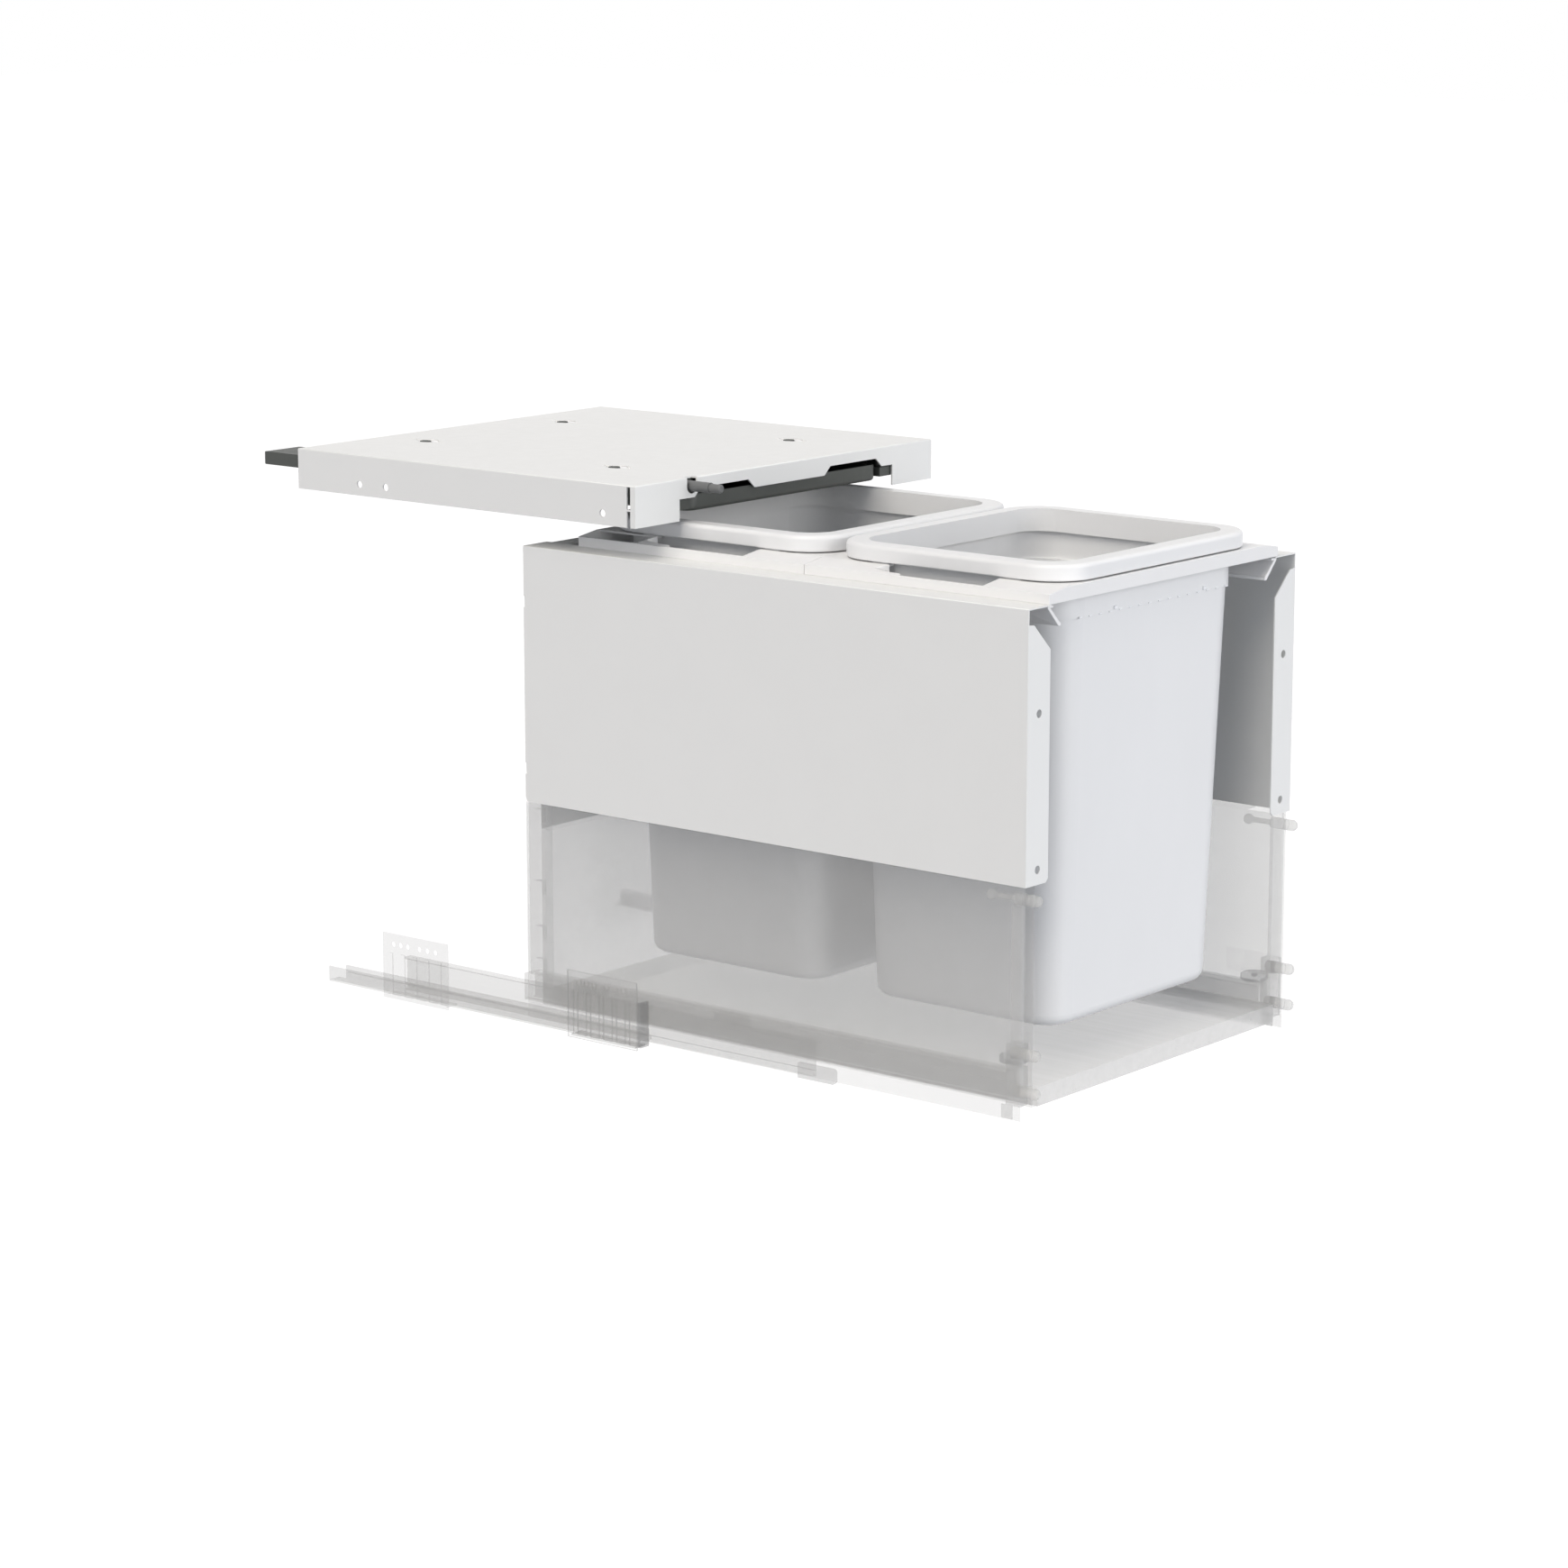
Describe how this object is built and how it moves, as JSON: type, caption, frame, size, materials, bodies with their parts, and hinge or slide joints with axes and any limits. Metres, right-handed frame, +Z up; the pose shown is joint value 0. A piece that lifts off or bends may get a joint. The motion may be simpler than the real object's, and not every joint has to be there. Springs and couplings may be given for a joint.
{
  "type": "pull out trash cabinet",
  "caption": "Pull-out waste unit for a kitchen cabinet: white bins hang in a steel-sided drawer on full runners, below a fixed steel shelf with a lowering lid.",
  "frame": {"origin": "midway between the cabinet walls, on the plane of the cabinet's front edges, level with the bracket screws", "axes": "+X to the right across the width, +Y back into the cabinet, +Z up; the drawer pulls out along -Y"},
  "size_m": [0.414, 0.8617, 0.493],
  "materials": {
    "white_steel": "fine satin powder coat",
    "white_frame": "smooth satin",
    "white_bin": "smooth satin, slightly glossy",
    "white_boss": "smooth",
    "dark_plastic": "fine grain",
    "grey_plunger": "satin",
    "clear_sheet": null,
    "clear_board": null,
    "clear_bracket": null,
    "clear_runner": null,
    "clear_plastic": null,
    "clear_fixing": null
  },
  "bodies": {
    "cabinet_fixed": {"shelf_pan": "white_steel", "plunger_housing": "dark_plastic", "lid_guide_left": "dark_plastic", "lid_guide_right": "dark_plastic", "bracket_front_left": "clear_bracket", "bracket_front_right": "clear_bracket", "bracket_rear_left": "clear_bracket", "bracket_rear_right": "clear_bracket", "runner_fixed_left": "clear_runner", "runner_fixed_right": "clear_runner", "rail_stop_left": "clear_plastic", "rail_stop_right": "clear_plastic"},
    "plunger_rod": {"plunger": "grey_plunger"},
    "inner_lid": {"lid_plate": "dark_plastic", "lid_boss_front_left": "white_boss", "lid_boss_front_right": "white_boss", "lid_boss_rear_left": "white_boss", "lid_boss_rear_right": "white_boss"},
    "middle_left": {"runner_middle_left": "clear_runner", "runner_nose_left": "clear_plastic"},
    "middle_right": {"runner_middle_right": "clear_runner", "runner_nose_right": "clear_plastic"},
    "drawer": {"runner_moving_left": "clear_runner", "runner_moving_right": "clear_runner", "glide_front_left": "clear_plastic", "glide_front_right": "clear_plastic", "glide_rear_left": "clear_plastic", "glide_rear_right": "clear_plastic", "side_outer_left": "clear_sheet", "side_outer_right": "clear_sheet", "side_inner_left": "clear_sheet", "side_inner_right": "clear_sheet", "base_board": "clear_board", "back_lower": "clear_sheet", "rear_post_left": "clear_sheet", "rear_post_right": "clear_sheet", "side_panel_left": "white_steel", "side_panel_right": "white_steel", "back_upper": "white_steel", "frame_front": "white_frame", "frame_rear": "white_frame", "gusset_left": "white_frame", "gusset_right": "white_frame", "front_block_left": "clear_plastic", "front_block_right": "clear_plastic", "dowel_upper_left": "clear_fixing", "dowel_upper_right": "clear_fixing", "dowel_lower_left": "clear_fixing", "dowel_lower_right": "clear_fixing", "ball_pin_left": "clear_fixing", "ball_pin_right": "clear_fixing", "adjuster_left": "clear_plastic", "adjuster_right": "clear_plastic", "side_cover_left": "clear_plastic", "side_cover_right": "clear_plastic", "bin_rear": "white_bin"},
    "front_bin": {"bin_front": "white_bin"}
  },
  "joints": [
    {"name": "drawer_slide", "type": "slide", "parent": "cabinet_fixed", "child": "drawer", "axis": [0, -1, 0], "range_m": [-0.4, 0.138]},
    {"name": "middle_slide_left", "type": "slide", "parent": "cabinet_fixed", "child": "middle_left", "axis": [0, -1, 0], "range_m": [-0.2005, 0.0695]},
    {"name": "middle_slide_right", "type": "slide", "parent": "cabinet_fixed", "child": "middle_right", "axis": [0, -1, 0], "range_m": [-0.2005, 0.0695]},
    {"name": "bin_lift", "type": "slide", "parent": "drawer", "child": "front_bin", "axis": [0, 0, 1], "range_m": [0, 0.44]},
    {"name": "plunger_press", "type": "slide", "parent": "cabinet_fixed", "child": "plunger_rod", "axis": [0, 1, 0], "range_m": [0, 0.03], "stiffness_N_per_m": 300, "springref_m": -0.02},
    {"name": "lid_lower", "type": "slide", "parent": "cabinet_fixed", "child": "inner_lid", "axis": [0, 0, -1], "range_m": [0, 0.0076]}
  ],
  "couplings": [
    {"joint": "middle_slide_left", "follows": "drawer_slide", "ratio": 0.5},
    {"joint": "middle_slide_right", "follows": "drawer_slide", "ratio": 0.5},
    {"joint": "lid_lower", "follows": "plunger_press", "ratio": 0.25}
  ]
}
